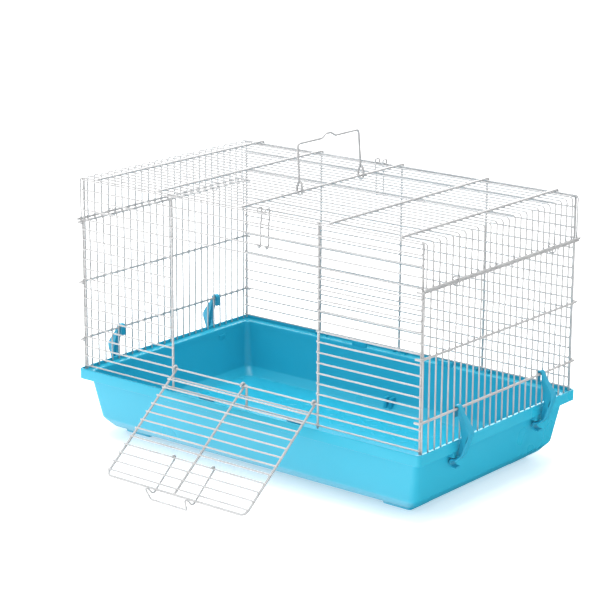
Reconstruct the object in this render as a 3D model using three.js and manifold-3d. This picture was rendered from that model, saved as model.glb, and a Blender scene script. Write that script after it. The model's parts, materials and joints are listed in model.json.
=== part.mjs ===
// Wire hamster cage on a moulded plastic tray. Millimetres, +Z up, +Y towards the back, the door
// at the front (-Y). The group's origin is the middle of the whole footprint, at table height.
import * as THREE from 'three';
import { mergeVertices } from 'three/addons/utils/BufferGeometryUtils.js';
import Module from 'manifold-3d';

const wasm = await Module();
wasm.setup();

// ---- Driving dimensions ------------------------------------------------------------------------
const TRAY_LENGTH = 474.5;
const TRAY_WIDTH = 292;
const RIM_TOP = 77;
const FOOT_HEIGHT = 7.5;
const PLASTIC = 2.2;
const THIN_WIRE = 1.8;
const HEAVY_WIRE = 2.7;
const WIRE_PITCH = 11.04;
const END_WIRES = 26;
const BAR_PITCH = 11.25;
const BAR_COUNT = 20;
const LOWEST_BAR = RIM_TOP + 2.7;
const HINGE_BAR = 2;
const LINTEL_BAR = 15;
const LOCK_BAR = 16;
const FACE_INSET = 6.8;
const END_INSET = 3.4;
const ROOF_TOP = RIM_TOP + 218.5;
const RAIL_HEIGHTS = [33.4, 99.7, 168.4];
const DOOR_WIDTH = 193;
const DOOR_LENGTH = 143.7;
const OPENING_WIDTH = 201.6;
const HANDLE_LEAN = 4;
const GAP = 0.3;

// A square bar with the same area as a round wire: its side is this share of the diameter.
const SQUARE = Math.sqrt(Math.PI) / 2;
const THIN = THIN_WIRE * SQUARE;
const HEAVY = HEAVY_WIRE * SQUARE;
const WELD = 0.3;
// Distance between the centres of a thin and a heavy wire that are welded where they cross.
const CROSSING = (THIN + HEAVY) / 2 - WELD;

// ---- Places worked out from them ---------------------------------------------------------------
const FACE_Y = TRAY_WIDTH / 2 - FACE_INSET;
const END_X = TRAY_LENGTH / 2 - END_INSET;
const RAIL_X = END_X + CROSSING;
const SKIRT_X = END_X + THIN + 0.6;
const SKIRT_RAIL_X = SKIRT_X + CROSSING;
const SKIRT_RAIL_Z = RIM_TOP + RAIL_HEIGHTS[2] + HEAVY + 0.8;
const CORNER_POST_X = END_X - THIN / 2 - HEAVY / 2 - 0.6;
const BAR_END_X = END_X - THIN / 2 - 1;
const RAIL_END_Y = FACE_Y + 5;
const CROSS_WIRE_Z = ROOF_TOP + CROSSING;
const DOOR_HINGE = { y: -FACE_Y, z: barHeight(HINGE_BAR) };

const WHITE_WIRE = new THREE.MeshStandardMaterial({ color: 0xdfe2e4, roughness: 0.35, metalness: 0.15 });
const BLUE_TRAY = new THREE.MeshStandardMaterial({ color: 0x4cb6dc, roughness: 0.3, metalness: 0 });
const BLUE_CLIP = new THREE.MeshStandardMaterial({ color: 0x1fa0cc, roughness: 0.35, metalness: 0 });

// ---- Small tools -------------------------------------------------------------------------------
function barHeight(index) {
  return LOWEST_BAR + index * BAR_PITCH;
}

// Places spaced evenly on both sides of zero.
function spread(count, pitch) {
  return Array.from({ length: count }, (_, i) => (i - (count - 1) / 2) * pitch);
}

function solid(geometry) {
  const plain = geometry.clone();
  plain.deleteAttribute('normal');
  plain.deleteAttribute('uv');
  const merged = mergeVertices(plain, 1e-4);
  const triVerts = Uint32Array.from(merged.index.array);
  const vertProperties = Float32Array.from(merged.attributes.position.array);
  return new wasm.Manifold(new wasm.Mesh({ numProp: 3, vertProperties, triVerts }));
}

function weld(pieces) {
  return pieces.reduce((whole, piece) => whole.add(piece));
}

function part(name, body, material) {
  const shape = body.getMesh();
  const geometry = new THREE.BufferGeometry();
  geometry.setAttribute('position', new THREE.BufferAttribute(Float32Array.from(shape.vertProperties), 3));
  geometry.setIndex(new THREE.BufferAttribute(Uint32Array.from(shape.triVerts), 1));
  geometry.computeVertexNormals();
  const mesh = new THREE.Mesh(geometry, material);
  mesh.name = name;
  return mesh;
}

function box(low, high) {
  const size = high.map((value, axis) => value - low[axis]);
  const geometry = new THREE.BoxGeometry(...size);
  geometry.translate(...low.map((value, axis) => value + size[axis] / 2));
  return solid(geometry);
}

// A straight square bar along one axis, from one end's centre to the other's.
function bar(from, to, side) {
  const low = from.map((value, axis) => Math.min(value, to[axis]));
  const high = from.map((value, axis) => Math.max(value, to[axis]));
  const across = low.map((value, axis) => value === high[axis]);
  return box(
    low.map((value, axis) => value - (across[axis] ? side / 2 : 0)),
    high.map((value, axis) => value + (across[axis] ? side / 2 : 0)),
  );
}

// A bar bent in one plane, with mitred corners: depth in that plane, width along its normal.
function bentBar(points, normal, depth, width = depth) {
  const path = points.map((point) => new THREE.Vector3(...point));
  const up = new THREE.Vector3(...normal).normalize();
  const positions = [];
  path.forEach((point, i) => {
    const before = point.clone().sub(path[Math.max(i - 1, 0)]).normalize();
    const after = path[Math.min(i + 1, path.length - 1)].clone().sub(point).normalize();
    const along = before.clone().add(after).normalize();
    const facing = after.lengthSq() > 0 ? after : before;
    const side = up.clone().cross(along).multiplyScalar(depth / 2 / Math.max(along.dot(facing), 0.3));
    const rise = up.clone().multiplyScalar(width / 2);
    [[-1, -1], [1, -1], [1, 1], [-1, 1]].forEach(([s, r]) => {
      const corner = point.clone().addScaledVector(side, s).addScaledVector(rise, r);
      positions.push(corner.x, corner.y, corner.z);
    });
  });
  const faces = [];
  for (let i = 0; i + 1 < path.length; i += 1) {
    for (let k = 0; k < 4; k += 1) {
      const a = i * 4 + k;
      const b = i * 4 + ((k + 1) % 4);
      faces.push(a, b + 4, b, a, a + 4, b + 4);
    }
  }
  const last = (path.length - 1) * 4;
  faces.push(0, 1, 2, 0, 2, 3, last, last + 2, last + 1, last, last + 3, last + 2);
  const geometry = new THREE.BufferGeometry();
  geometry.setAttribute('position', new THREE.Float32BufferAttribute(positions, 3));
  geometry.setIndex(faces);
  const body = solid(geometry);
  return body.volume() < 0 ? solid(flipped(geometry)) : body;
}

function flipped(geometry) {
  const turned = geometry.clone();
  const index = Array.from(geometry.index.array);
  for (let i = 0; i < index.length; i += 3) {
    [index[i + 1], index[i + 2]] = [index[i + 2], index[i + 1]];
  }
  turned.setIndex(index);
  return turned;
}

// Points of an arc in the plane of two axes: 0 is x, 1 is y and 2 is z.
function arc(centre, radius, startDeg, endDeg, steps, [first, second]) {
  return Array.from({ length: steps + 1 }, (_, i) => {
    const angle = THREE.MathUtils.degToRad(startDeg + ((endDeg - startDeg) * i) / steps);
    const point = [...centre];
    point[first] += radius * Math.cos(angle);
    point[second] += radius * Math.sin(angle);
    return point;
  });
}

// ---- Tray --------------------------------------------------------------------------------------
const LIP_HEIGHT = 12;
const LIP_WALL = 2;
const LEDGE_DEPTH = 4;
const LEDGE_INSET = 11;
const WALL_FOOT_INSET = 17.6;
const FLOOR_BOTTOM = FOOT_HEIGHT;
const CHAMFER_RISE = 11;
const CHAMFER_RUN = 9.5;
const FOOT_SIZE = 38;
const FOOT_INSET = 36;
const CORNER_STEPS = 5;

// How far in from the rim the outer wall stands at a height above the table.
function wallInset(height) {
  const top = RIM_TOP - LIP_HEIGHT;
  const topInset = LEDGE_INSET - PLASTIC;
  return topInset + ((top - height) / (top - FLOOR_BOTTOM)) * (WALL_FOOT_INSET - topInset);
}

// One rounded rectangle of the tray's skin, set in from the rim's outer edge.
function trayRing([inset, height, radius]) {
  const points = [];
  [[1, 1], [-1, 1], [-1, -1], [1, -1]].forEach(([sx, sy], quarter) => {
    const centre = [
      sx * (TRAY_LENGTH / 2 - inset - radius),
      sy * (TRAY_WIDTH / 2 - inset - radius),
      height,
    ];
    points.push(...arc(centre, radius, quarter * 90, quarter * 90 + 90, CORNER_STEPS, [0, 1]));
  });
  return points;
}

// A closed skin through rings of equal point count, capped at both ends.
function loft(rings) {
  const count = rings[0].length;
  const faces = [];
  for (let r = 0; r + 1 < rings.length; r += 1) {
    for (let k = 0; k < count; k += 1) {
      const a = r * count + k;
      const b = r * count + ((k + 1) % count);
      faces.push(a, b, b + count, a, b + count, a + count);
    }
  }
  const last = (rings.length - 1) * count;
  for (let k = 1; k + 1 < count; k += 1) {
    faces.push(0, k + 1, k, last, last + k, last + k + 1);
  }
  const geometry = new THREE.BufferGeometry();
  geometry.setAttribute('position', new THREE.Float32BufferAttribute(rings.flat(2), 3));
  geometry.setIndex(faces);
  return solid(geometry);
}

function trayShell() {
  const chamferTop = FLOOR_BOTTOM + CHAMFER_RISE;
  const outside = wallInset(chamferTop);
  const underLip = RIM_TOP - LIP_HEIGHT;
  const web = RIM_TOP - LEDGE_DEPTH - PLASTIC;
  return loft([
    [outside + CHAMFER_RUN, FLOOR_BOTTOM, 9],
    [outside, chamferTop, 10],
    [wallInset(underLip), underLip, 8],
    [wallInset(underLip), web, 8],
    [LIP_WALL, web, 3],
    [LIP_WALL, underLip, 3],
    [0, underLip, 5],
    [0, RIM_TOP - 0.8, 5],
    [0.8, RIM_TOP, 4],
    [LIP_WALL, RIM_TOP, 3],
    [LIP_WALL, RIM_TOP - LEDGE_DEPTH, 3],
    [LEDGE_INSET, RIM_TOP - LEDGE_DEPTH, 6],
    [LEDGE_INSET + 0.6, underLip, 6],
    [outside + PLASTIC, chamferTop + 1, 8],
    [outside + CHAMFER_RUN + 1, FLOOR_BOTTOM + PLASTIC, 8],
  ].map(trayRing));
}

// Low square feet, one near each corner of the floor.
function trayFeet() {
  const outerX = TRAY_LENGTH / 2 - FOOT_INSET;
  const outerY = TRAY_WIDTH / 2 - FOOT_INSET;
  const feet = [];
  for (const sx of [-1, 1]) {
    for (const sy of [-1, 1]) {
      const xs = [sx * outerX, sx * (outerX - FOOT_SIZE)].sort((a, b) => a - b);
      const ys = [sy * outerY, sy * (outerY - FOOT_SIZE)].sort((a, b) => a - b);
      feet.push(box([xs[0], ys[0], 0], [xs[1], ys[1], FLOOR_BOTTOM + 1]));
    }
  }
  return feet;
}

// The catch that each clip's toe reaches under, on the end walls just below the lip.
const LUG_TOP = RIM_TOP - LIP_HEIGHT - 1;
const LUG_BOTTOM = RIM_TOP - 18.8;
const LUG_WIDTH = 12;
const CLIP_PLACES = [
  { name: 'clip_right_front', side: 1, y: -7 * WIRE_PITCH },
  { name: 'clip_right_rear', side: 1, y: 7 * WIRE_PITCH },
  { name: 'clip_left_front', side: -1, y: -7 * WIRE_PITCH },
  { name: 'clip_left_rear', side: -1, y: 8 * WIRE_PITCH },
];

function clipLug({ side, y }) {
  const xs = [side * (TRAY_LENGTH / 2 - LIP_WALL), side * (TRAY_LENGTH / 2 - LEDGE_INSET - 0.8)];
  xs.sort((a, b) => a - b);
  return box([xs[0], y - LUG_WIDTH / 2, LUG_BOTTOM], [xs[1], y + LUG_WIDTH / 2, LUG_TOP]);
}

function makeTray() {
  return part('tray', weld([trayShell(), ...trayFeet(), ...CLIP_PLACES.map(clipLug)]), BLUE_TRAY);
}

// ---- Clips -------------------------------------------------------------------------------------
const CLIP_THICKNESS = 2.2;
const CLIP_WIDTH = 9;
const CLIP_HOOK_WIDTH = 6.6;
const CLIP_WEB = 2.4;
const CLIP_RING = HEAVY * Math.SQRT1_2 + 0.45 + CLIP_THICKNESS / 2;

// A block through level rectangles, lowest first: each has its height, inner x, outer x and width.
function levels(sections) {
  return loft(sections.map(([z, inner, outer, width]) => [
    [inner, -width / 2, z],
    [outer, -width / 2, z],
    [outer, width / 2, z],
    [inner, width / 2, z],
  ]));
}

// A clip turns on the lowest rail: its hook wraps the rail, its thick arm bows out past the rim,
// and its curled toe reaches in under the tray's lug. Drawn outwards (+x) of the rail's centre.
function makeClip({ name, side, y }) {
  const hook = [[-CLIP_RING, 0, -9.5], ...arc([0, 0, 0], CLIP_RING, 180, 35, 5, [0, 2])];
  const shin = [[16.2, 0, -24], [8, 0, -48.5], [1.5, 0, -54.4], [-3.6, 0, -55]];
  const toe = [[-3.6, 0, -55], [-6, 0, -57.2], [-6.2, 0, -60], [-3.6, 0, -62.8], [1.4, 0, -63.4]];
  const arm = levels([
    [-38, 9.4, 12.4, CLIP_WIDTH],
    [-26, 7.4, 17.2, CLIP_WIDTH],
    [-20, 6.2, 17, CLIP_WIDTH],
    [-8, 2.8, 8.6, CLIP_HOOK_WIDTH + 1],
    [-2, 2.4, 4.4, CLIP_HOOK_WIDTH],
  ]);
  const web = levels([
    [-53, 2.2, 3.4, CLIP_WEB],
    [-48, 2.2, 8.4, CLIP_WEB],
    [-36, 3.6, 12.6, CLIP_WEB],
    [-24, 6.8, 14, CLIP_WEB],
  ]);
  const body = weld([
    bentBar([...hook, [6.2, 0, -5]], [0, 1, 0], CLIP_THICKNESS, CLIP_HOOK_WIDTH),
    arm,
    web,
    bentBar(shin, [0, 1, 0], CLIP_THICKNESS, CLIP_WIDTH),
    bentBar(toe, [0, 1, 0], CLIP_THICKNESS, CLIP_WIDTH),
  ]);
  const mesh = part(name, body, BLUE_CLIP);
  mesh.position.set(side * RAIL_X, y, RIM_TOP + RAIL_HEIGHTS[0]);
  mesh.rotation.z = side > 0 ? 0 : Math.PI;
  return mesh;
}

// ---- Wire panels -------------------------------------------------------------------------------
const RAIL_HOOK = 6.5;

// One end of the cage: thin uprights inside three heavy rails, whose ends hook round the corners.
function makeEndPanel(name, side) {
  const top = RIM_TOP + RAIL_HEIGHTS[2] + HEAVY / 2;
  const uprights = spread(END_WIRES, WIRE_PITCH).map(
    (y) => bar([side * END_X, y, RIM_TOP - 2.5], [side * END_X, y, top], THIN),
  );
  const rails = RAIL_HEIGHTS.map((height) => {
    const z = RIM_TOP + height;
    return bentBar([
      [side * (RAIL_X - RAIL_HOOK), -RAIL_END_Y, z],
      [side * RAIL_X, -RAIL_END_Y, z],
      [side * RAIL_X, RAIL_END_Y, z],
      [side * (RAIL_X - RAIL_HOOK), RAIL_END_Y, z],
    ], [0, 0, 1], HEAVY);
  });
  return part(name, weld([...uprights, ...rails]), WHITE_WIRE);
}

// Heavy uprights behind the level bars of the front or back panel.
function uprightsAt(xs, y, top) {
  return xs.map((x) => bar([x, y, RIM_TOP - 1], [x, y, top], HEAVY));
}

function makeFrontPanel() {
  const y = -FACE_Y;
  const postX = OPENING_WIDTH / 2;
  const uprightY = y + CROSSING;
  const top = barHeight(BAR_COUNT - 1) + THIN / 2;
  const bars = [];
  for (let i = 0; i < BAR_COUNT; i += 1) {
    const z = barHeight(i);
    if (i > HINGE_BAR && i < LINTEL_BAR) {
      bars.push(bar([-BAR_END_X, y, z], [-postX, y, z], THIN));
      bars.push(bar([postX, y, z], [BAR_END_X, y, z], THIN));
    } else {
      bars.push(bar([-BAR_END_X, y, z], [BAR_END_X, y, z], THIN));
    }
  }
  const uprights = uprightsAt([-CORNER_POST_X, -postX, postX, CORNER_POST_X], uprightY, top);
  const sillStub = uprightsAt([4], uprightY, barHeight(HINGE_BAR) + THIN / 2);
  return part('front_panel', weld([...bars, ...uprights, ...sillStub]), WHITE_WIRE);
}

const ROOF_CROSS_WIRES = [-206.5, -116.6, 0, 116.6, 206.5];

function makeBackPanel() {
  const bars = Array.from({ length: BAR_COUNT }, (_, i) => (
    bar([-BAR_END_X, FACE_Y, barHeight(i)], [BAR_END_X, FACE_Y, barHeight(i)], THIN)
  ));
  const xs = [-CORNER_POST_X, ...ROOF_CROSS_WIRES.slice(1, 4), CORNER_POST_X];
  const uprights = uprightsAt(xs, FACE_Y + CROSSING, barHeight(BAR_COUNT - 1) + THIN / 2);
  return part('back_panel', weld([...bars, ...uprights]), WHITE_WIRE);
}

// Roof: thin wires bent down at both ends into skirts, heavy cross wires on top of them.
const ROOF_BEND = 3.6;
const ROOF_HOOK_DROP = 6.5;

function roofWire(y) {
  const skirtFoot = SKIRT_RAIL_Z - HEAVY / 2;
  const bend = (side) => {
    const centre = [side * (SKIRT_X - ROOF_BEND), y, ROOF_TOP - ROOF_BEND];
    const from = side > 0 ? [90, 0] : [180, 90];
    return arc(centre, ROOF_BEND, ...from, 2, [0, 2]);
  };
  return bentBar([
    [-SKIRT_X, y, skirtFoot],
    ...bend(-1),
    ...bend(1),
    [SKIRT_X, y, skirtFoot],
  ], [0, 1, 0], THIN);
}

function roofCrossWire(x) {
  const hookY = FACE_Y + CROSSING + HEAVY + GAP;
  return bentBar([
    [x, -FACE_Y - 1.4, CROSS_WIRE_Z],
    [x, hookY, CROSS_WIRE_Z],
    [x, hookY, CROSS_WIRE_Z - ROOF_HOOK_DROP],
  ], [1, 0, 0], HEAVY);
}

function makeRoofPanel() {
  const wires = spread(END_WIRES, WIRE_PITCH).map(roofWire);
  const crossWires = ROOF_CROSS_WIRES.map(roofCrossWire);
  const skirtRails = [-1, 1].map((side) => {
    const x = side * SKIRT_RAIL_X;
    return bar([x, -FACE_Y - 3, SKIRT_RAIL_Z], [x, FACE_Y + 3, SKIRT_RAIL_Z], HEAVY);
  });
  return part('roof_panel', weld([...wires, ...crossWires, ...skirtRails]), WHITE_WIRE);
}

// A closed ring of thin wire round the roof's skirt rail and the end panel's top rail.
function makePanelRing(name, side, y) {
  const rails = [[SKIRT_RAIL_X, SKIRT_RAIL_Z], [RAIL_X, RIM_TOP + RAIL_HEIGHTS[2]]];
  const centre = [(rails[0][0] + rails[1][0]) / 2, (rails[0][1] + rails[1][1]) / 2];
  const reach = Math.hypot(rails[0][0] - centre[0], rails[0][1] - centre[1]);
  const radius = reach + HEAVY * Math.SQRT1_2 + 0.5 + THIN / 2;
  const ring = new THREE.TorusGeometry(radius, THIN / 2, 4, 10);
  ring.rotateX(Math.PI / 2);
  ring.translate(side * centre[0], y, centre[1]);
  return part(name, solid(ring), WHITE_WIRE);
}

// ---- Door and its latch, drawn shut and upright, from the hinge wire up ------------------------
const EYE_RADIUS = 2.75;
const DOOR_FRAME_Y = -EYE_RADIUS;
const DOOR_BARS_Y = DOOR_FRAME_Y + CROSSING;
const DOOR_BARS = Array.from({ length: 12 }, (_, i) => 14 + i * 11.2);
const LATCH_BAR = DOOR_BARS[8];
const LATCH_EYE = 2.45;
const LATCH_LEG_X = 27.4;
const LATCH_PULL_X = 24.9;
const LATCH_TIP = { y: -4.2, z: 155.6 };
const TIP_CLEARANCE = 0.6;

// The open door rests its latch on the table: how far below level it hangs, in degrees.
function doorDrop() {
  const reach = Math.hypot(LATCH_TIP.z, LATCH_TIP.y);
  const height = DOOR_HINGE.z - TIP_CLEARANCE - THIN * Math.SQRT1_2;
  const tilt = Math.atan2(-LATCH_TIP.y, LATCH_TIP.z);
  return THREE.MathUtils.radToDeg(Math.asin(height / reach) - tilt);
}

function doorUpright(x) {
  const eye = arc([x, 0, 0], EYE_RADIUS, 180, 420, 8, [1, 2]);
  return bentBar([[x, DOOR_FRAME_Y, DOOR_LENGTH], ...eye], [1, 0, 0], HEAVY);
}

function makeDoor() {
  const sideX = DOOR_WIDTH / 2;
  const corner = 7;
  const endWire = bentBar([
    [-sideX, DOOR_FRAME_Y, DOOR_LENGTH - corner - 2],
    ...arc([-sideX + corner, DOOR_FRAME_Y, DOOR_LENGTH - corner], corner, 180, 90, 3, [0, 2]),
    ...arc([sideX - corner, DOOR_FRAME_Y, DOOR_LENGTH - corner], corner, 90, 0, 3, [0, 2]),
    [sideX, DOOR_FRAME_Y, DOOR_LENGTH - corner - 2],
  ], [0, 1, 0], HEAVY);
  const sides = [-sideX, sideX].map((x) => {
    const eye = arc([x, 0, 0], EYE_RADIUS, 180, 420, 8, [1, 2]);
    return bentBar([[x, DOOR_FRAME_Y, DOOR_LENGTH - corner - 1], ...eye], [1, 0, 0], HEAVY);
  });
  const reach = sideX + HEAVY / 2 + 0.6;
  const bars = DOOR_BARS.map((z) => bar([-reach, DOOR_BARS_Y, z], [reach, DOOR_BARS_Y, z], THIN));
  return part('door', weld([endWire, ...sides, doorUpright(0), ...bars]), WHITE_WIRE);
}

// A sprung wire: two legs with eyes on one of the door's bars, a hump that snaps in above the
// wire over the opening, and a finger pull outside it.
function makeDoorLatch() {
  const shoulder = [9, 152.2];
  const leg = (x) => {
    const eye = arc([x, DOOR_BARS_Y, LATCH_BAR], LATCH_EYE, 30, -180, 6, [1, 2]);
    return bentBar([
      ...eye,
      [x, -5.35, DOOR_LENGTH],
      [x, -5.35, DOOR_LENGTH + 2.3],
      [x, -2.7, 148.6],
      [x, 7.5, 149.4],
      [x, ...shoulder],
    ], [1, 0, 0], THIN);
  };
  const slope = [0, LATCH_TIP.z - shoulder[1], shoulder[0] - LATCH_TIP.y];
  const pull = bentBar([
    [-LATCH_LEG_X, ...shoulder],
    [-LATCH_PULL_X, LATCH_TIP.y, LATCH_TIP.z],
    [LATCH_PULL_X, LATCH_TIP.y, LATCH_TIP.z],
    [LATCH_LEG_X, ...shoulder],
  ], slope, THIN);
  return part('door_latch', weld([leg(-LATCH_LEG_X), leg(LATCH_LEG_X), pull]), WHITE_WIRE);
}

function hungDoor() {
  const hung = new THREE.Group();
  hung.add(makeDoor(), makeDoorLatch());
  hung.position.set(0, DOOR_HINGE.y, DOOR_HINGE.z);
  hung.rotation.x = THREE.MathUtils.degToRad(90 + doorDrop());
  return hung;
}

// ---- Carrying handle on the middle cross wire --------------------------------------------------
const HANDLE_FEET = [-4 * WIRE_PITCH, 6 * WIRE_PITCH - 2.4];
const HANDLE_RISE = 51.4;
const HANDLE_KINK = 4.2;
const HANDLE_LOOP = 3.6;

function makeHandle() {
  const [front, back] = HANDLE_FEET;
  const middle = (front + back) / 2;
  const arch = bentBar([
    [0, front, 12],
    [0, front + 0.6, HANDLE_RISE - 4],
    [0, front + 4, HANDLE_RISE],
    [0, middle - 12, HANDLE_RISE],
    [0, middle - 4, HANDLE_RISE + HANDLE_KINK],
    [0, middle + 4, HANDLE_RISE + HANDLE_KINK],
    [0, middle + 12, HANDLE_RISE],
    [0, back - 4, HANDLE_RISE],
    [0, back - 0.6, HANDLE_RISE - 4],
    [0, back, 12],
  ], [1, 0, 0], HEAVY);
  const foot = (y) => bentBar([
    [0, y, 14],
    [0, y, 11],
    [-HANDLE_LOOP, y, 5],
    ...arc([0, y, 0], HANDLE_LOOP, 180, 360, 6, [0, 2]),
    [HANDLE_LOOP, y, 6],
  ], [0, 1, 0], HEAVY);
  const mesh = part('handle', weld([arch, foot(front), foot(back)]), WHITE_WIRE);
  mesh.position.z = CROSS_WIRE_Z;
  mesh.rotation.y = THREE.MathUtils.degToRad(-HANDLE_LEAN);
  return mesh;
}

// ---- Wire locks that hold the roof down on the front and back panels ---------------------------
const LOCK_X = 28.2;
const LOCK_HALF_WIDTH = 5.3;
const LOCK_EYE = THIN * Math.SQRT1_2 + 0.45 + THIN / 2;

// Drawn for the front; the back one is the same piece turned half round.
function makeRoofLock(name, turned) {
  const pivot = [-FACE_Y, barHeight(LOCK_BAR)];
  const roofWireY = -((END_WIRES - 1) / 2) * WIRE_PITCH;
  const inside = roofWireY + THIN + GAP + 0.6;
  const front = -FACE_Y - 3.2;
  const leg = (x) => bentBar([
    ...arc([x, ...pivot], LOCK_EYE, -210, 0, 6, [1, 2]),
    [x, pivot[0] + LOCK_EYE, ROOF_TOP - 12],
    [x, inside, ROOF_TOP - 4],
    [x, inside, ROOF_TOP + 2.6],
    [x, inside - 1.6, ROOF_TOP + 4.2],
    [x, front + 1.6, ROOF_TOP + 4.2],
    [x, front, ROOF_TOP + 2.6],
    [x, front, ROOF_TOP - 0.6],
  ], [1, 0, 0], THIN);
  const xs = [LOCK_X - LOCK_HALF_WIDTH, LOCK_X + LOCK_HALF_WIDTH];
  const fingerBar = bar(
    [xs[0] - THIN / 2, front, ROOF_TOP - 0.6],
    [xs[1] + THIN / 2, front, ROOF_TOP - 0.6],
    THIN,
  );
  const mesh = part(name, weld([...xs.map(leg), fingerBar]), WHITE_WIRE);
  mesh.rotation.z = turned ? Math.PI : 0;
  return mesh;
}

// ---- Assembly ----------------------------------------------------------------------------------
function assemble() {
  const cage = new THREE.Group();
  cage.add(makeTray());
  CLIP_PLACES.forEach((place) => cage.add(makeClip(place)));
  cage.add(makeEndPanel('left_end_panel', -1), makeEndPanel('right_end_panel', 1));
  cage.add(makeFrontPanel(), makeBackPanel(), makeRoofPanel());
  for (const [sideName, side] of [['left', -1], ['right', 1]]) {
    for (const [place, y] of [['front', -8 * WIRE_PITCH], ['rear', 8 * WIRE_PITCH]]) {
      cage.add(makePanelRing(`panel_ring_${sideName}_${place}`, side, y));
    }
  }
  cage.add(hungDoor(), makeHandle());
  cage.add(makeRoofLock('front_roof_lock', false), makeRoofLock('back_roof_lock', true));
  return cage;
}

// Centre the whole footprint, open door included, on the origin.
function centred(cage) {
  const bounds = new THREE.Box3().setFromObject(cage, true);
  cage.position.set(
    -(bounds.min.x + bounds.max.x) / 2,
    -(bounds.min.y + bounds.max.y) / 2,
    -bounds.min.z,
  );
  return new THREE.Group().add(cage);
}

export default centred(assemble());
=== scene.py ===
"""The looks of a wire hamster cage: round coated wires, a moulded blue tray and plastic clips."""
import json
import math

import bmesh
import bpy
from mathutils import Matrix, Vector, noise


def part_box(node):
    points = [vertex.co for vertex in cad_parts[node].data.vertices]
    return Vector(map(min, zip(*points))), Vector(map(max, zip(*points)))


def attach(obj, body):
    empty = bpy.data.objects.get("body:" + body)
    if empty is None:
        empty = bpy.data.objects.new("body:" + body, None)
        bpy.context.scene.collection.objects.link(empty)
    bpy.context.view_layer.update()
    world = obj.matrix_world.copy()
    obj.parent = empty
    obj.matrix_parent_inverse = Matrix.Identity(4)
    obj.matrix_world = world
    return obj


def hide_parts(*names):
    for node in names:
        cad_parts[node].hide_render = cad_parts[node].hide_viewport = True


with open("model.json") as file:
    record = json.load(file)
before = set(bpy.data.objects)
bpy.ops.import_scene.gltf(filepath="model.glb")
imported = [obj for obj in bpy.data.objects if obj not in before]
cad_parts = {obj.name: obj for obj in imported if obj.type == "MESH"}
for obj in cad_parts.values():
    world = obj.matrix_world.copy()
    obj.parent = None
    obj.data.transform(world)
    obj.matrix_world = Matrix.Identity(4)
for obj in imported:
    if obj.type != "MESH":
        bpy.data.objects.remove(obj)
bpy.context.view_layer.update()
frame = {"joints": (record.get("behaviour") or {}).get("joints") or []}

# All lengths are millimetres in the cage's own frame: X to the right along the front, Y to the
# back and Z up from the table, with the origin under the middle of the tray.
MM = 0.001
tray_low, tray_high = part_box("tray")
MIDDLE = (tray_low + tray_high) / 2
TO_FRAME = Matrix.Translation((MIDDLE.x, MIDDLE.y, 0)) @ Matrix.Scale(MM, 4)

# ---- Driving dimensions ----------------------------------------------------------------------
HALF_LENGTH = (tray_high.x - tray_low.x) / MM / 2
HALF_WIDTH = (tray_high.y - tray_low.y) / MM / 2
RIM_TOP = tray_high.z / MM
# Radii of the wires.
THIN = 0.9
HEAVY = 1.35
LATCH_WIRE = 1.0
WIRE_PITCH = 11.04
END_WIRES = 26
BAR_PITCH = 11.25
BAR_COUNT = 20
LOWEST_BAR = RIM_TOP + 2.7
HINGE_BAR = 2
LINTEL_BAR = 15
LOCK_BAR = 16
RAIL_HEIGHTS = (33.4, 99.7, 168.4)
ROOF_TOP = RIM_TOP + 218.5
OPENING_X = 100.8
ROOF_CROSS_WIRES = (-206.5, -116.6, 0.0, 116.6, 206.5)
# The centres of a thin and a heavy wire that are welded where they cross are this far apart.
CROSSING = 1.7

# ---- Places worked out from them -------------------------------------------------------------
FACE_Y = HALF_WIDTH - 6.8
END_X = HALF_LENGTH - 3.4
POST_X = END_X - 2.6
BAR_END_X = END_X - 1.6
RAIL_X = END_X + CROSSING
SKIRT_X = END_X + 2.2
SKIRT_RAIL_X = SKIRT_X + CROSSING
SKIRT_RAIL_Z = RIM_TOP + RAIL_HEIGHTS[2] + 3.2
CROSS_WIRE_Z = ROOF_TOP + CROSSING
WIRE_YS = [(i - (END_WIRES - 1) / 2) * WIRE_PITCH for i in range(END_WIRES)]

X_AXIS = Vector((1, 0, 0))
Y_AXIS = Vector((0, 1, 0))
Z_AXIS = Vector((0, 0, 1))


def bar_height(index):
    """The height of a level bar of the front and back panels, counted up from 0."""
    return LOWEST_BAR + index * BAR_PITCH


# ---- Tools for drawing -----------------------------------------------------------------------
class Shape:
    """Points and faces of one piece, gathered as it is drawn."""

    def __init__(self):
        self.points = []
        self.faces = []

    def add(self, points, faces):
        """Adds points, and faces that count from the first of them."""
        start = len(self.points)
        self.points.extend(Vector(point) for point in points)
        self.faces.extend(tuple(index + start for index in face) for face in faces)

    def turn(self, matrix):
        """Moves every point so far by a matrix."""
        self.points = [matrix @ point for point in self.points]


def make_piece(name, shape, body, material, place=TO_FRAME, sharp=40):
    """One object from a shape, riding on a body in place of the CAD node of the same name."""
    mesh = bpy.data.meshes.new(name)
    mesh.from_pydata([place @ point for point in shape.points], [], shape.faces)
    mesh.validate()
    editor = bmesh.new()
    editor.from_mesh(mesh)
    bmesh.ops.recalc_face_normals(editor, faces=editor.faces)
    editor.to_mesh(mesh)
    editor.free()
    mesh.shade_smooth()
    mesh.set_sharp_from_angle(angle=math.radians(sharp))
    piece = bpy.data.objects.new(name + "_look", mesh)
    bpy.context.scene.collection.objects.link(piece)
    mesh.materials.append(material)
    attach(piece, body)
    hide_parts(name)
    return piece


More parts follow.
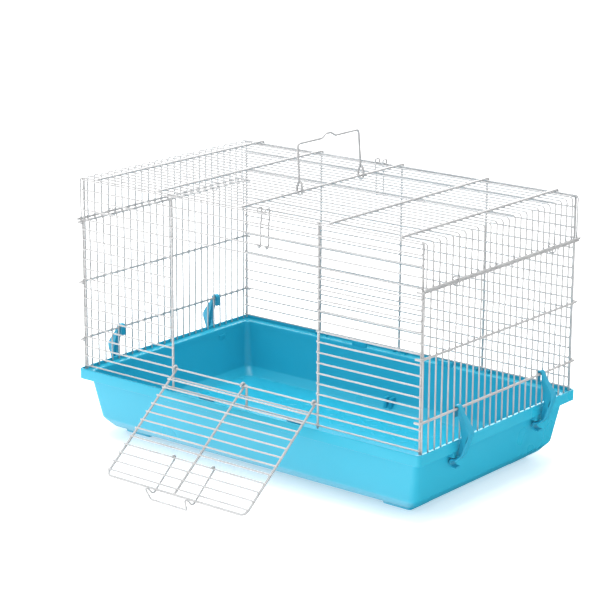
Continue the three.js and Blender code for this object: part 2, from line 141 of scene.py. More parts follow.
def bend(points, radius, step=15):
    """A path with every inner corner rounded; radius is one number or one for each inner corner."""
    points = [Vector(point) for point in points]
    radii = radius if isinstance(radius, (list, tuple)) else [radius] * (len(points) - 2)
    path = [points[0]]
    for before, corner, after, wanted in zip(points, points[1:], points[2:], radii):
        into = (corner - before).normalized()
        out = (after - corner).normalized()
        angle = into.angle(out, 0)
        if angle < math.radians(2) or wanted <= 0:
            path.append(corner)
            continue
        room = 0.49 * min((corner - before).length, (after - corner).length)
        reach = min(wanted * math.tan(angle / 2), room)
        curve = reach / math.tan(angle / 2)
        inward = (out - into * into.dot(out)).normalized()
        centre = corner - into * reach + inward * curve
        count = max(2, round(math.degrees(angle) / step))
        for i in range(count + 1):
            turn = angle * i / count
            path.append(centre + (into * math.sin(turn) - inward * math.cos(turn)) * curve)
    path.append(points[-1])
    return path


def arc(centre, radius, start, end, first, second, step=20):
    """Points of an arc in the plane of two directions, with its angles in degrees."""
    count = max(2, round(abs(end - start) / step))
    angles = [math.radians(start + (end - start) * i / count) for i in range(count + 1)]
    return [
        Vector(centre) + (first * math.cos(a) + second * math.sin(a)) * radius for a in angles
    ]


def directions(path):
    """The path's direction at each of its points."""
    steps = [(b - a).normalized() for a, b in zip(path, path[1:])]
    return [steps[0]] + [(a + b).normalized() for a, b in zip(steps, steps[1:])] + [steps[-1]]


def skin(shape, rings, closed=False):
    """Faces between rings of equal point count, capped at both ends or joined end to end."""
    count = len(rings[0])
    faces = []
    last = len(rings) if closed else len(rings) - 1
    for r in range(last):
        for k in range(count):
            a = r * count + k
            b = r * count + (k + 1) % count
            c = ((r + 1) % len(rings)) * count
            faces.append((a, b, c + (k + 1) % count, c + k))
    if not closed:
        faces.append(tuple(range(count - 1, -1, -1)))
        faces.append(tuple((len(rings) - 1) * count + k for k in range(count)))
    shape.add([point for ring in rings for point in ring], faces)


def wire(shape, path, radius, sides=12):
    """A round wire along a path, with its cut ends softly domed by the coating."""
    path = [Vector(point) for point in path]
    ways = directions(path)
    side = ways[0].orthogonal().normalized()
    circle = [2 * math.pi * k / sides for k in range(sides)]
    rings = []
    for i, (point, way) in enumerate(zip(path, ways)):
        if i:
            side = ways[i - 1].rotation_difference(way) @ side
        other = way.cross(side)

        def ring(forward, share):
            middle = point + way * forward * radius
            reach = radius * share
            return [middle + (side * math.cos(a) + other * math.sin(a)) * reach for a in circle]

        dome = [(0.55 * math.sin(t), math.cos(t)) for t in (math.radians(d) for d in (32, 62))]
        if i == 0:
            rings.extend(ring(-forward, share) for forward, share in reversed(dome))
        rings.append(ring(0, 1))
        if i == len(path) - 1:
            rings.extend(ring(forward, share) for forward, share in dome)
    skin(shape, rings)


WOBBLE = 0.22
WOBBLE_LENGTH = 55
WOBBLE_SEED = 1


def drawn_wire(shape, start, end, radius, sides=12):
    """A straight wire that is out of true by a fraction of a millimetre, as welded wire is."""
    start, end = Vector(start), Vector(end)
    length = (end - start).length
    count = max(2, round(length / WOBBLE_LENGTH * 2))
    path = []
    for i in range(count + 1):
        share = i / count
        point = start.lerp(end, share)
        slack = math.sin(math.pi * share) ** 0.5 * WOBBLE
        seed = point / WOBBLE_LENGTH + start
        path.append(point + noise.noise_vector(seed) * slack)
    wire(shape, path, radius, sides)


def weld(shape, point, along, across, size=(2.3, 1.75, 0.8)):
    """The bead of coating where two wires cross: a flat lens, longest along the thin wire."""
    point, along, across = Vector(point), Vector(along), Vector(across)
    up = along.cross(across)
    rows, columns = 4, 10
    points = [point + up * size[2]]
    for r in range(1, rows):
        tilt = math.pi * r / rows
        for c in range(columns):
            turn = 2 * math.pi * c / columns
            points.append(
                point
                + along * size[0] * math.sin(tilt) * math.cos(turn)
                + across * size[1] * math.sin(tilt) * math.sin(turn)
                + up * size[2] * math.cos(tilt)
            )
    points.append(point - up * size[2])
    end = len(points) - 1
    faces = []
    for c in range(columns):
        d = (c + 1) % columns
        faces.append((0, 1 + c, 1 + d))
        for r in range(rows - 2):
            a = 1 + r * columns
            faces.append((a + c, a + columns + c, a + columns + d, a + d))
        a = 1 + (rows - 2) * columns
        faces.append((a + c, end, a + d))
    shape.add(points, faces)


def block(shape, low, high, bevel=0.5):
    """A moulded block with rounded edges."""
    editor = bmesh.new()
    bmesh.ops.create_cube(editor, size=1)
    low, high = Vector(low), Vector(high)
    for vertex in editor.verts:
        vertex.co = [a + (b - a) * (c + 0.5) for a, b, c in zip(low, high, vertex.co)]
    add_bevelled(shape, editor, bevel)


def add_bevelled(shape, editor, bevel):
    """The faces of an edited mesh, with all its edges rounded."""
    bmesh.ops.bevel(
        editor, geom=list(editor.edges), offset=bevel, segments=2, profile=0.6, affect="EDGES",
    )
    editor.verts.index_update()
    shape.add(
        [vertex.co.copy() for vertex in editor.verts],
        [tuple(vertex.index for vertex in face.verts) for face in editor.faces],
    )
    editor.free()


# ---- Materials -------------------------------------------------------------------------------
def new_material(name, **settings):
    """A material, its shader with those settings, and its node tree."""
    material = bpy.data.materials.new(name)
    material.use_nodes = True
    tree = material.node_tree
    shader = tree.nodes["Principled BSDF"]
    for socket, value in settings.items():
        shader.inputs[socket.replace("_", " ")].default_value = value
    return material, tree, shader


def noise_node(tree, scale, detail=3.0, roughness=0.55):
    """Noise in the piece's own coordinates, which are metres."""
    coordinates = tree.nodes.new("ShaderNodeTexCoord")
    texture = tree.nodes.new("ShaderNodeTexNoise")
    texture.inputs["Scale"].default_value = scale
    texture.inputs["Detail"].default_value = detail
    texture.inputs["Roughness"].default_value = roughness
    tree.links.new(coordinates.outputs["Object"], texture.inputs["Vector"])
    return texture.outputs["Fac"]


def ramp(tree, source, low, high, start=0.35, end=0.65):
    """Two colours, spread over the middle of a noise."""
    node = tree.nodes.new("ShaderNodeValToRGB")
    node.color_ramp.elements[0].position = start
    node.color_ramp.elements[0].color = (*low, 1)
    node.color_ramp.elements[1].position = end
    node.color_ramp.elements[1].color = (*high, 1)
    tree.links.new(source, node.inputs["Fac"])
    return node.outputs["Color"]


def map_range(tree, source, old, new):
    """The source's numbers, stretched from the old range to the new one."""
    node = tree.nodes.new("ShaderNodeMapRange")
    node.inputs["From Min"].default_value, node.inputs["From Max"].default_value = old
    node.inputs["To Min"].default_value, node.inputs["To Max"].default_value = new
    tree.links.new(source, node.inputs["Value"])
    return node.outputs["Result"]


def spread(tree, source, low, high):
    """A noise turned into numbers between low and high."""
    return map_range(tree, source, (0.3, 0.7), (low, high))


def bump(tree, shader, source, strength, distance):
    """Fine relief from a noise; the distance is in metres."""
    node = tree.nodes.new("ShaderNodeBump")
    node.inputs["Strength"].default_value = strength
    node.inputs["Distance"].default_value = distance
    tree.links.new(source, node.inputs["Height"])
    tree.links.new(node.outputs["Normal"], shader.inputs["Normal"])


def powder_coat():
    """White baked powder, drawn pale grey as painted shade for the soft shading of the wires: a
    faint orange peel, uneven gloss and slightly darker spots.
    """
    material, tree, shader = new_material(
        "powder_coated_wire", Coat_Weight=0.8, Coat_Roughness=0.1, IOR=1.5,
    )
    patches = noise_node(tree, 60, 4)
    # These greys are painted shade: the coat itself is white, darkened to the grey that the wires
    # show in soft light.
    colour = ramp(tree, patches, (0.40, 0.40, 0.405), (0.46, 0.46, 0.46))
    tree.links.new(colour, shader.inputs["Base Color"])
    peel = noise_node(tree, 1100, 2)
    tree.links.new(spread(tree, patches, 0.30, 0.42), shader.inputs["Roughness"])
    bump(tree, shader, peel, 0.12, 0.0002)
    return material


def moulded(name, dark, light, gloss, grain):
    """Coloured polypropylene: soft flow marks in the colour and a fine spark-eroded grain."""
    material, tree, shader = new_material(name, Specular_IOR_Level=0.32, IOR=1.49)
    flow = noise_node(tree, 7, 5, 0.6)
    tree.links.new(ramp(tree, flow, dark, light, 0.3, 0.7), shader.inputs["Base Color"])
    tree.links.new(spread(tree, noise_node(tree, 12, 2), *gloss), shader.inputs["Roughness"])
    bump(tree, shader, noise_node(tree, 700, 2), grain, 0.0002)
    return material


WIRE_COAT = powder_coat()
TRAY_BLUE = moulded("tray_plastic", (0.018, 0.39, 0.56), (0.024, 0.405, 0.575), (0.27, 0.33), 0.03)
# The clips' blue is deeper than the tray's, which is partly painted shade for the shade that falls
# on them under the lip.
CLIP_BLUE = moulded("clip_plastic", (0.018, 0.31, 0.47), (0.022, 0.33, 0.50), (0.28, 0.36), 0.04)


# ---- Tray ------------------------------------------------------------------------------------
TRAY_WALL = 2.2
LIP_WALL = 2
FLOOR_SEAM_INSET = 70
LIP_HEIGHT = 12
LEDGE_DEPTH = 4
FLOOR_BOTTOM = 7.5
FLOOR_TOP = 9.7
CHAMFER_TOP = 18.5
UNDER_LIP = RIM_TOP - LIP_HEIGHT
LEDGE = RIM_TOP - LEDGE_DEPTH
WEB = LEDGE - TRAY_WALL
WALL_TOP_INSET = 8.8
WALL_FOOT_INSET = 15.9
FLAT_INSET = 25.4
CORNER_STEP = 12
CLIP_PLACES = {
    "clip_right_front": (1, -7 * WIRE_PITCH),
    "clip_right_rear": (1, 7 * WIRE_PITCH),
    "clip_left_front": (-1, -7 * WIRE_PITCH),
    "clip_left_rear": (-1, 8 * WIRE_PITCH),
}


def tray_ring(inset, height, radius):
    """A rounded rectangle set in from the rim's outer edge."""
    ring = []
    for quarter, (sx, sy) in enumerate(((1, 1), (-1, 1), (-1, -1), (1, -1))):
        x = sx * (HALF_LENGTH - inset - radius)
        y = sy * (HALF_WIDTH - inset - radius)
        start = quarter * 90
        ring += arc((x, y, height), radius, start, start + 90, X_AXIS, Y_AXIS, CORNER_STEP)
    return ring


def tray_shell(shape):
    """The tub's section, from under the floor round the lip and down to the floor's top."""
    section = [
        (FLOOR_SEAM_INSET, FLOOR_BOTTOM, 0), (FLAT_INSET, FLOOR_BOTTOM, 4),
        (WALL_FOOT_INSET, CHAMFER_TOP, 7),
        (WALL_TOP_INSET, UNDER_LIP, 0.4), (WALL_TOP_INSET, WEB, 1.2), (LIP_WALL, WEB, 0.8),
        (LIP_WALL, UNDER_LIP, 0.5), (0, UNDER_LIP, 0.5), (0, RIM_TOP, 0.9), (LIP_WALL, RIM_TOP, 0.5),
        (LIP_WALL, LEDGE, 0.6), (11, LEDGE, 1.3), (11.6, UNDER_LIP, 6),
        (WALL_FOOT_INSET + TRAY_WALL, CHAMFER_TOP + 1, 3.5), (FLAT_INSET + 1, FLOOR_TOP, 4),
        (FLOOR_SEAM_INSET, FLOOR_TOP, 0),
    ]
    corners = [(inset, 0, height) for inset, height, _ in section]
    path = bend(corners, [radius for _, _, radius in section[1:-1]], step=18)
    skin(shape, [tray_ring(p.x, p.z, corner_radius(p.x, p.z)) for p in path])


def corner_radius(inset, height):
    """Corners are tight at the lip and rounder down the walls."""
    if inset < 2.5:
        return 5 - 0.8 * inset
    return 6.5 + 3.5 * min(max((UNDER_LIP - height) / (UNDER_LIP - FLOOR_BOTTOM), 0), 1)


FOOT_INSET = 35.4
FOOT_SIZE = 39


def tray_foot(shape, sx, sy):
    """A low square foot near a corner, tapered like a moulded boss."""
    middle_x = sx * (HALF_LENGTH - FOOT_INSET - FOOT_SIZE / 2)
    middle_y = sy * (HALF_WIDTH - FOOT_INSET - FOOT_SIZE / 2)
    rings = []
    for height, shrink, radius in ((8, 0, 4), (1.1, 0.9, 4), (0.3, 1.3, 3.6), (0, 2.1, 3)):
        half = FOOT_SIZE / 2 - shrink
        ring = []
        for quarter, (x, y) in enumerate(((1, 1), (-1, 1), (-1, -1), (1, -1))):
            centre = (middle_x + x * (half - radius), middle_y + y * (half - radius), height)
            ring += arc(centre, radius, quarter * 90, quarter * 90 + 90, X_AXIS, Y_AXIS, 22)
        rings.append(ring)
    skin(shape, rings)


RIB_PAIRS = (-116, 0, 116)
RIB_SPREAD = 8
RIB_PLACES = [x + side * RIB_SPREAD for x in RIB_PAIRS for side in (-1, 1)]
TAB_PLACES = (-54, 69)
TAB_LENGTH = 20


def ledge_details(shape):
    """Ribs in the groove beside the uprights, and tabs that hold the lowest wires down."""
    for sy in (-1, 1):
        for x in RIB_PLACES:
            ys = sorted((sy * (HALF_WIDTH - 1.6), sy * (HALF_WIDTH - 4.6)))
            block(shape, (x - 0.8, ys[0], LEDGE - 0.5), (x + 0.8, ys[1], RIM_TOP - 0.6), 0.3)
        for x in TAB_PLACES:
            ys = sorted((sy * (HALF_WIDTH - 8.2), sy * (HALF_WIDTH - 11.2)))
            low = (x - TAB_LENGTH / 2, ys[0], LEDGE - 1)
            block(shape, low, (x + TAB_LENGTH / 2, ys[1], RIM_TOP + 1.2), 0.6)


def clip_lug(shape, side, y):
    """The catch under the lip that a clip's toe reaches under."""
    xs = sorted((side * (HALF_LENGTH - 1.9), side * (HALF_LENGTH - 12.4)))
    block(shape, (xs[0], y - 6, RIM_TOP - 18.8), (xs[1], y + 6, UNDER_LIP + 0.6), 0.5)


def floor_pattern(shape):
    """A band of low raised lozenges, leaning left and right in turn, along the floor."""
    rows, columns = 4, 15
    for row in range(rows):
        for column in range(columns):
            lean = math.radians(38 if (row + column) % 2 else -38)
            along = Vector((math.cos(lean), math.sin(lean), 0))
            centre = Vector((-112 + column * 15, 42 + row * 11.5, FLOOR_TOP))
            weld(shape, centre, along, along.cross(Z_AXIS) * -1, (5.2, 1.7, 0.7))


def back_bracket(shape):
    """Two small upright ribs at the foot of the back wall, for a bottle or wheel stand."""
    y = HALF_WIDTH - WALL_FOOT_INSET
    for x in (-3.6, 3.6):
        block(shape, (x - 2.1, y - 10, FLOOR_TOP + 1), (x + 2.1, y - 1.8, CHAMFER_TOP + 5.5), 1.0)


def draw_tray():
    """The tub with its feet, ledge details, floor pattern, back ribs and clip lugs."""
    shape = Shape()
    tray_shell(shape)
    for sx in (-1, 1):
        for sy in (-1, 1):
            tray_foot(shape, sx, sy)
    ledge_details(shape)
    floor_pattern(shape)
    back_bracket(shape)
    for side, y in CLIP_PLACES.values():
        clip_lug(shape, side, y)
    make_piece("tray", shape, "cage", TRAY_BLUE, sharp=32)


# ---- Clips -----------------------------------------------------------------------------------
CLIP_THICKNESS = 2.2
CLIP_RING = 3.1
CLIP_WIDTH = 9
CLIP_HOOK_WIDTH = 6.6


def strap(shape, path, thickness, width_at):
    """A flat strap with rounded edges, bent in the XZ plane, its width set along the path."""
    ways = directions(path)
    edge = thickness * 0.32
    rings = []
    total = len(path) - 1
    for i, (point, way) in enumerate(zip(path, ways)):
        out = way.cross(Y_AXIS).normalized()
        half = width_at(i / total) / 2
        ring = []
        for quarter, (sy, so) in enumerate(((1, 1), (-1, 1), (-1, -1), (1, -1))):
            centre = point + Y_AXIS * sy * (half - edge) + out * so * (thickness / 2 - edge)
            ring += arc(centre, edge, quarter * 90, quarter * 90 + 90, Y_AXIS, out, 30)
        rings.append(ring)
    skin(shape, rings)


def levels(shape, sections, edge):
    """A moulded block through level rounded rectangles: height, inner x, outer x and width."""
    rings = []
    for height, inner, outer, width in sections:
        ring = []
        for quarter, (sx, sy) in enumerate(((1, 1), (-1, 1), (-1, -1), (1, -1))):
            x = (inner + outer) / 2 + sx * ((outer - inner) / 2 - edge)
            y = sy * (width / 2 - edge)
            start = quarter * 90
            ring += arc((x, y, height), edge, start, start + 90, X_AXIS, Y_AXIS, 30)
        rings.append(ring)
    skin(shape, rings)


def draw_clip(name, side, y):
    """A springy clip: hook over the rail, thick arm bowed past the lip, toe under the lug."""
    shape = Shape()
    # Lengths in a clip are from the centre of the rail it hangs on.
    hook = [Vector((-CLIP_RING, 0, -9.5)), Vector((-CLIP_RING, 0, -5))]
    hook += arc((0, 0, 0), CLIP_RING, 180, 30, X_AXIS, Z_AXIS, 12) + [Vector((6.2, 0, -6))]
    strap(shape, hook, CLIP_THICKNESS, lambda share: CLIP_HOOK_WIDTH)
    arm = [
        (-39, 9.6, 12.2, 8), (-34, 8.6, 14.1, CLIP_WIDTH), (-27.5, 7.5, 16.6, CLIP_WIDTH),
        (-24.5, 7.0, 17.4, CLIP_WIDTH), (-21.5, 6.4, 17.3, CLIP_WIDTH), (-18, 5.6, 15.9, 8.9),
        (-8, 2.9, 9.0, 7.6), (-2, 2.2, 4.6, CLIP_HOOK_WIDTH), (0.6, 2.0, 3.6, 6),
    ]
    levels(shape, arm, 0.7)
    web = [(-53, 2.2, 3.6, 2.4), (-47, 2.2, 9.2, 2.4), (-36, 3.6, 12.8, 2.4), (-24, 6.8, 14, 2.4)]
    levels(shape, web, 0.5)
    shin = [
        (15.6, 0, -26.5), (8, 0, -48.5), (1.2, 0, -54.6), (-4.4, 0, -55.2), (-6.3, 0, -57.8),
        (-6.3, 0, -60.4), (-4.0, 0, -62.8), (1.4, 0, -63.4),
    ]
    path = bend(shin, [6, 5, 2.4, 2.4, 2.4, 2.4])
    strap(shape, path, CLIP_THICKNESS, lambda share: CLIP_WIDTH - 1.6 * max(0, share - 0.4))
    place = Matrix.Translation((side * RAIL_X, y, RIM_TOP + RAIL_HEIGHTS[0]))
    if side < 0:
        place = place @ Matrix.Rotation(math.pi, 4, "Z")
    make_piece(name, shape, name, CLIP_BLUE, TO_FRAME @ place)


# ---- Wire panels -----------------------------------------------------------------------------
RAIL_HOOK = 6.5
RAIL_END_Y = FACE_Y + 5


def draw_end_panel(name, side):
    """Thin uprights inside three heavy rails, whose ends turn round the corners."""
    shape = Shape()
    x = side * END_X
    rail_x = side * RAIL_X
    top = RIM_TOP + RAIL_HEIGHTS[2] + HEAVY
    for y in WIRE_YS:
        drawn_wire(shape, (x, y, RIM_TOP - 2.4), (x, y, top - 0.4), THIN)
    for height in RAIL_HEIGHTS:
        z = RIM_TOP + height
        hooked = rail_x - side * RAIL_HOOK
        corners = [
            (hooked, -RAIL_END_Y, z), (rail_x, -RAIL_END_Y, z),
            (rail_x, RAIL_END_Y, z), (hooked, RAIL_END_Y, z),
        ]
        wire(shape, bend(corners, 2.2), HEAVY, 14)
        for y in WIRE_YS:
            weld(shape, (x + side * CROSSING / 2, y, z), Z_AXIS, Y_AXIS)
    make_piece(name, shape, "cage", WIRE_COAT)


def upright(shape, x, y, bottom, top, bars, bar_y):
    """A heavy upright with a weld at each bar that crosses it."""
    drawn_wire(shape, (x, y, bottom), (x, y, top), HEAVY, 14)
    for z in bars:
        weld(shape, (x, (y + bar_y) / 2, z), X_AXIS, Z_AXIS)


def draw_front_panel():
    """Level bars with the door opening, on heavy uprights, and a short one under the sill."""
    shape = Shape()
    y = -FACE_Y
    upright_y = y + CROSSING
    heights = [bar_height(i) for i in range(BAR_COUNT)]
    for i, z in enumerate(heights):
        if HINGE_BAR < i < LINTEL_BAR:
            drawn_wire(shape, (-BAR_END_X, y, z), (-OPENING_X - 0.8, y, z), THIN)
            drawn_wire(shape, (OPENING_X + 0.8, y, z), (BAR_END_X, y, z), THIN)
        else:
            drawn_wire(shape, (-BAR_END_X, y, z), (BAR_END_X, y, z), THIN)
    for x in (-POST_X, -OPENING_X, OPENING_X, POST_X):
        upright(shape, x, upright_y, RIM_TOP - 0.9, heights[-1] + 0.5, heights, y)
    sill = heights[HINGE_BAR]
    upright(shape, 4, upright_y, RIM_TOP - 0.9, sill + 0.5, heights[: HINGE_BAR + 1], y)
    make_piece("front_panel", shape, "cage", WIRE_COAT)


def draw_back_panel():
    """Level bars on heavy uprights."""
    shape = Shape()
    heights = [bar_height(i) for i in range(BAR_COUNT)]
    for z in heights:
        drawn_wire(shape, (-BAR_END_X, FACE_Y, z), (BAR_END_X, FACE_Y, z), THIN)
    for x in (-POST_X, *ROOF_CROSS_WIRES[1:4], POST_X):
        upright(shape, x, FACE_Y + CROSSING, RIM_TOP - 0.9, heights[-1] + 0.5, heights, FACE_Y)
    make_piece("back_panel", shape, "cage", WIRE_COAT)


ROOF_BEND = 3.8


def draw_roof():
    """Thin wires bent down into skirts at both ends, under five heavy cross wires."""
    shape = Shape()
    skirt_foot = SKIRT_RAIL_Z - HEAVY + 0.3
    for y in WIRE_YS:
        corners = [
            (-SKIRT_X, y, skirt_foot), (-SKIRT_X, y, ROOF_TOP),
            (SKIRT_X, y, ROOF_TOP), (SKIRT_X, y, skirt_foot),
        ]
        wire(shape, bend(corners, ROOF_BEND), THIN)
        for x in ROOF_CROSS_WIRES:
            weld(shape, (x, y, ROOF_TOP + CROSSING / 2), X_AXIS, Y_AXIS)
        for side in (-1, 1):
            middle = side * (SKIRT_X + SKIRT_RAIL_X) / 2
            weld(shape, (middle, y, SKIRT_RAIL_Z), Z_AXIS, Y_AXIS)
    hook_y = FACE_Y + CROSSING + 2 * HEAVY
    for x in ROOF_CROSS_WIRES:
        corners = [
            (x, -FACE_Y - 1.2, CROSS_WIRE_Z), (x, hook_y, CROSS_WIRE_Z),
            (x, hook_y, CROSS_WIRE_Z - 6.3),
        ]
        wire(shape, bend(corners, 2.2), HEAVY, 14)
    for side in (-1, 1):
        ends = [(side * SKIRT_RAIL_X, s * (FACE_Y + 2.9), SKIRT_RAIL_Z) for s in (-1, 1)]
        drawn_wire(shape, *ends, HEAVY, 14)
    make_piece("roof_panel", shape, "cage", WIRE_COAT)


RING_RADIUS = 4.9


def draw_panel_ring(name, side, y):
    """A thin wire closed into a ring round two rails, its cut ends almost meeting outside."""
    centre = (
        side * (SKIRT_RAIL_X + RAIL_X) / 2, y,
        (SKIRT_RAIL_Z + RIM_TOP + RAIL_HEIGHTS[2]) / 2,
    )
    shape = Shape()
    wire(shape, arc(centre, RING_RADIUS, 8, 352, X_AXIS * side, Z_AXIS, 15), THIN * 0.9)
    make_piece(name, shape, "cage", WIRE_COAT)


# ---- Door and latch, drawn shut and upright from the hinge wire, then hung open --------------
EYE_RADIUS = 2.75
DOOR_LENGTH = 143.7
DOOR_SIDE = 96.5
DOOR_CORNER = 7
DOOR_FRAME_Y = -EYE_RADIUS
DOOR_BARS_Y = DOOR_FRAME_Y + CROSSING
DOOR_BARS = [14 + i * 11.2 for i in range(12)]
DOOR_BAR_END = 98.3
LATCH_BAR = DOOR_BARS[8]
LATCH_EYE = 2.45
LATCH_X = 27.4
PULL_X = 24.9
PULL = (-4.2, 155.6)
DOOR_OPEN = next(j for j in frame["joints"] if j["name"] == "door_hinge")["range_deg"][1]
HANG = (
    TO_FRAME
    @ Matrix.Translation((0, -FACE_Y, bar_height(HINGE_BAR)))
    @ Matrix.Rotation(math.radians(DOOR_OPEN), 4, "X")
)


def eye(x, y, z, radius, start, end):
    """A curl round a wire that runs along X: 0 degrees is to the back and 90 is up."""
    return arc((x, y, z), radius, start, end, Y_AXIS, Z_AXIS, 18)


def draw_door():
    """One heavy wire makes both sides and the end; another the middle; thin bars cross them."""
    shape = Shape()
    left = eye(-DOOR_SIDE, 0, 0, EYE_RADIUS, 425, 180)
    right = eye(DOOR_SIDE, 0, 0, EYE_RADIUS, 180, 425)
    corners = [
        left[-1], (-DOOR_SIDE, DOOR_FRAME_Y, DOOR_LENGTH),
        (DOOR_SIDE, DOOR_FRAME_Y, DOOR_LENGTH), right[0],
    ]
    wire(shape, left[:-1] + bend(corners, DOOR_CORNER) + right[1:], HEAVY, 14)
    middle = [(0, DOOR_FRAME_Y, DOOR_LENGTH - 0.5)] + eye(0, 0, 0, EYE_RADIUS, 180, 425)
    wire(shape, middle, HEAVY, 14)
    for z in DOOR_BARS:
        drawn_wire(shape, (-DOOR_BAR_END, DOOR_BARS_Y, z), (DOOR_BAR_END, DOOR_BARS_Y, z), THIN)
        for x in (-DOOR_SIDE, 0, DOOR_SIDE):
            weld(shape, (x, (DOOR_BARS_Y + DOOR_FRAME_Y) / 2, z), X_AXIS, Z_AXIS)
    weld(shape, (0, DOOR_FRAME_Y, DOOR_LENGTH - 0.8), X_AXIS, Z_AXIS, (2.6, 2.0, 1.45))
    make_piece("door", shape, "door", WIRE_COAT, HANG)


def draw_latch():
    """One sprung wire: eye, leg, hump, finger pull, hump, leg and eye."""
    shape = Shape()

    def leg(x, pull_x):
        hump = [
            (x, -5.35, DOOR_LENGTH), (x, -5.35, DOOR_LENGTH + 2.3), (x, -2.7, 148.6),
            (x, 7.5, 149.4), (x, 9, 152.2), (pull_x, *PULL),
        ]
        return eye(x, DOOR_BARS_Y, LATCH_BAR, LATCH_EYE, 30, -180)[:-1] + [
            Vector((x, DOOR_BARS_Y - LATCH_EYE, LATCH_BAR + 0.5))
        ] + [Vector(point) for point in hump]

    corners = leg(-LATCH_X, -PULL_X) + leg(LATCH_X, PULL_X)[::-1]
    wire(shape, bend(corners, 1.9, step=20), LATCH_WIRE, 12)
    make_piece("door_latch", shape, "door_latch", WIRE_COAT, HANG)


# ---- Carrying handle -------------------------------------------------------------------------
HANDLE_FEET = (-4 * WIRE_PITCH, 6 * WIRE_PITCH - 2.4)
HANDLE_RISE = 51.4
HANDLE_KINK = 4.2
HANDLE_LOOP = 3.6
HANDLE_LEAN = 4


def draw_handle():
    """One heavy wire: a teardrop foot at each end, two legs, and a kinked grip between them."""
    front, back = HANDLE_FEET
    middle = (front + back) / 2

    def foot(y):
        loop = arc((0, y, 0), HANDLE_LOOP, 360, 180, X_AXIS, Z_AXIS, 18)
        return [Vector((2.3, y, 10.6)), Vector((HANDLE_LOOP, y, 5.5))] + loop + [
            Vector((-HANDLE_LOOP, y, 4.5)), Vector((0, y, 12))
        ]

    grip = [
        Vector((0, front + 0.6, HANDLE_RISE)), Vector((0, middle - 12, HANDLE_RISE)),
        Vector((0, middle - 4, HANDLE_RISE + HANDLE_KINK)),
        Vector((0, middle + 4, HANDLE_RISE + HANDLE_KINK)),
        Vector((0, middle + 12, HANDLE_RISE)), Vector((0, back - 0.6, HANDLE_RISE)),
    ]
    corners = foot(front) + grip + foot(back)[::-1]
    shape = Shape()
    wire(shape, bend(corners, 4, step=15), HEAVY, 16)
    lean = Matrix.Rotation(math.radians(-HANDLE_LEAN), 4, "Y")
    place = TO_FRAME @ Matrix.Translation((0, 0, CROSS_WIRE_Z)) @ lean
    make_piece("handle", shape, "handle", WIRE_COAT, place)


# ---- Roof locks ------------------------------------------------------------------------------
LOCK_X = 28.2
LOCK_HALF = 5.3
LOCK_EYE = 2.38
LOCK_OVER_ROOF = 4.3
LOCK_INSIDE = 4
LOCK_OUTSIDE = 3.2


def draw_roof_lock(name, turned):
    """One sprung wire, hooked under a bar inside, over the roof's first wire and down outside."""
    y = -FACE_Y
    z = bar_height(LOCK_BAR)
    inside = y + LOCK_INSIDE
    outside = y - LOCK_OUTSIDE
    over = ROOF_TOP + LOCK_OVER_ROOF

    def leg(x):
        return eye(x, y, z, LOCK_EYE, -210, 0) + [Vector(point) for point in (
            (x, y + LOCK_EYE, ROOF_TOP - 14), (x, inside, ROOF_TOP - 4),
            (x, inside, over), (x, outside, over),
            (x, outside, ROOF_TOP - 0.6),
        )]

    corners = leg(LOCK_X - LOCK_HALF) + leg(LOCK_X + LOCK_HALF)[::-1]
    shape = Shape()
    wire(shape, bend(corners, 1.7, step=20), THIN, 12)
    if turned:
        shape.turn(Matrix.Rotation(math.pi, 4, "Z"))
    make_piece(name, shape, "cage", WIRE_COAT)


# ---- Studio, in metres -----------------------------------------------------------------------
FLOOR_REACH = 12
SURROUNDINGS = 0.8
FRONT_CARD = 3.4
REAR_CARD = 0.02
CARD_WAY = (0.6, 0.8, 0)


def place_camera():
    """A long lens in front of the cage's right corner, a little above it."""
    from_tray = Vector((1.4582, -1.8551, 0.7382))
    pitch, turn, roll = (math.radians(a) for a in (-15.36, 38.82, 0.275))
    data = bpy.data.cameras.new("camera")
    data.lens = 133.1
    data.sensor_width = 36
    data.clip_end = 30
    camera = bpy.data.objects.new("camera", data)
    bpy.context.scene.collection.objects.link(camera)
    aim = (
        Matrix.Rotation(turn, 4, "Z")
        @ Matrix.Rotation(math.radians(90) + pitch, 4, "X")
        @ Matrix.Rotation(roll, 4, "Z")
    )
    spot = Vector((MIDDLE.x, MIDDLE.y, tray_high.z)) + from_tray
    camera.matrix_world = Matrix.Translation(spot) @ aim
    bpy.context.scene.camera = camera


def lay_floor():
    """A wide pale floor that fills the view."""
    mesh = bpy.data.meshes.new("floor")
    signs = ((-1, -1), (1, -1), (1, 1), (-1, 1))
    corners = [(sx * FLOOR_REACH, sy * FLOOR_REACH, 0) for sx, sy in signs]
    mesh.from_pydata(corners, [], [(0, 1, 2, 3)])
    floor = bpy.data.objects.new("floor", mesh)
    bpy.context.scene.collection.objects.link(floor)
    material, tree, shader = new_material("floor_paper", Roughness=0.9, Emission_Strength=0.4)
    grain = noise_node(tree, 3, 2)
    paper = ramp(tree, grain, (0.90, 0.90, 0.90), (0.92, 0.92, 0.92))
    tree.links.new(paper, shader.inputs["Base Color"])
    shader.inputs["Emission Color"].default_value = (1, 1, 1, 1)
    mesh.materials.append(material)
    # Reflections don't see the paper: the walls mirror the cards in light_studio instead.
    floor.visible_glossy = False


def softbox(name, place, target, size, power):
    """A rectangular lamp aimed at a point, in metres and watts."""
    data = bpy.data.lights.new(name, "AREA")
    data.shape = "RECTANGLE"
    data.size, data.size_y = size
    data.energy = power
    light = bpy.data.objects.new(name, data)
    bpy.context.scene.collection.objects.link(light)
    light.location = place
    light.rotation_euler = (Vector(target) - Vector(place)).to_track_quat("-Z", "Y").to_euler()


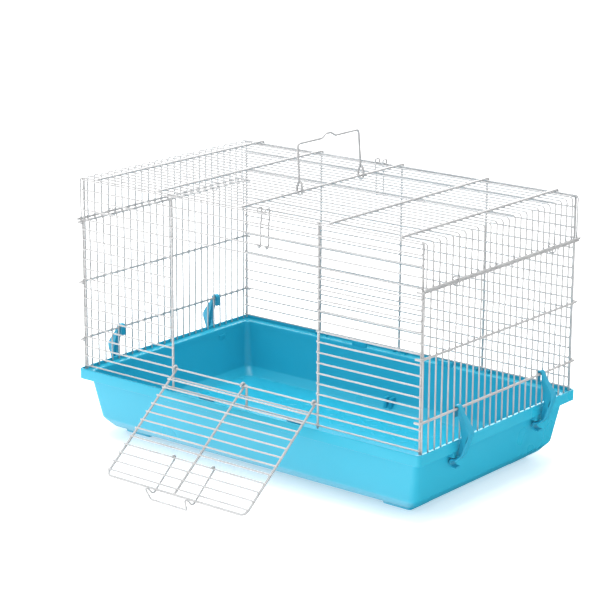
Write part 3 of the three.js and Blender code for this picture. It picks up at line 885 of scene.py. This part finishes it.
def light_studio():
    """Even white surroundings with cards below the horizon to mirror, and three softboxes."""
    world = bpy.data.worlds.new("studio")
    world.use_nodes = True
    tree = world.node_tree
    background = tree.nodes["Background"]
    background.inputs["Color"].default_value = (1, 1, 1, 1)
    direction = tree.nodes.new("ShaderNodeTexCoord").outputs["Generated"]
    split = tree.nodes.new("ShaderNodeSeparateXYZ")
    tree.links.new(direction, split.inputs["Vector"])
    # The cards run from bright in front on the left to black behind on the right.
    along = tree.nodes.new("ShaderNodeVectorMath")
    along.operation = "DOT_PRODUCT"
    along.inputs[1].default_value = CARD_WAY
    tree.links.new(direction, along.inputs[0])
    cards = map_range(tree, along.outputs["Value"], (-0.7, 0.3), (FRONT_CARD, REAR_CARD))
    below = map_range(tree, split.outputs["Z"], (-0.15, -0.02), (1, 0))
    mix = tree.nodes.new("ShaderNodeMix")
    mix.inputs["A"].default_value = SURROUNDINGS
    tree.links.new(below, mix.inputs["Factor"])
    tree.links.new(cards, mix.inputs["B"])
    tree.links.new(mix.outputs["Result"], background.inputs["Strength"])
    bpy.context.scene.world = world
    target = (0, MIDDLE.y, 0.1)
    softbox("key", (-1.0, -2.4, 1.1), target, (1.6, 1.2), 10)
    softbox("top", (-0.3, 0.2, 2.2), target, (1.6, 1.6), 60)
    softbox("sheen", (-1.7, 2.2, 0.9), target, (2.0, 1.0), 30)


def draw_everything():
    """Each piece of the cage once."""
    # Without a seed the noise starts from the clock, and no two runs are alike.
    noise.seed_set(WOBBLE_SEED)
    draw_tray()
    for name, (side, y) in CLIP_PLACES.items():
        draw_clip(name, side, y)
    draw_end_panel("left_end_panel", -1)
    draw_end_panel("right_end_panel", 1)
    draw_front_panel()
    draw_back_panel()
    draw_roof()
    for side_name, side in (("left", -1), ("right", 1)):
        for place, y in (("front", -8 * WIRE_PITCH), ("rear", 8 * WIRE_PITCH)):
            draw_panel_ring(f"panel_ring_{side_name}_{place}", side, y)
    draw_door()
    draw_latch()
    draw_handle()
    draw_roof_lock("front_roof_lock", False)
    draw_roof_lock("back_roof_lock", True)


bpy.context.scene.view_settings.view_transform = "Standard"
place_camera()
lay_floor()
light_studio()
draw_everything()
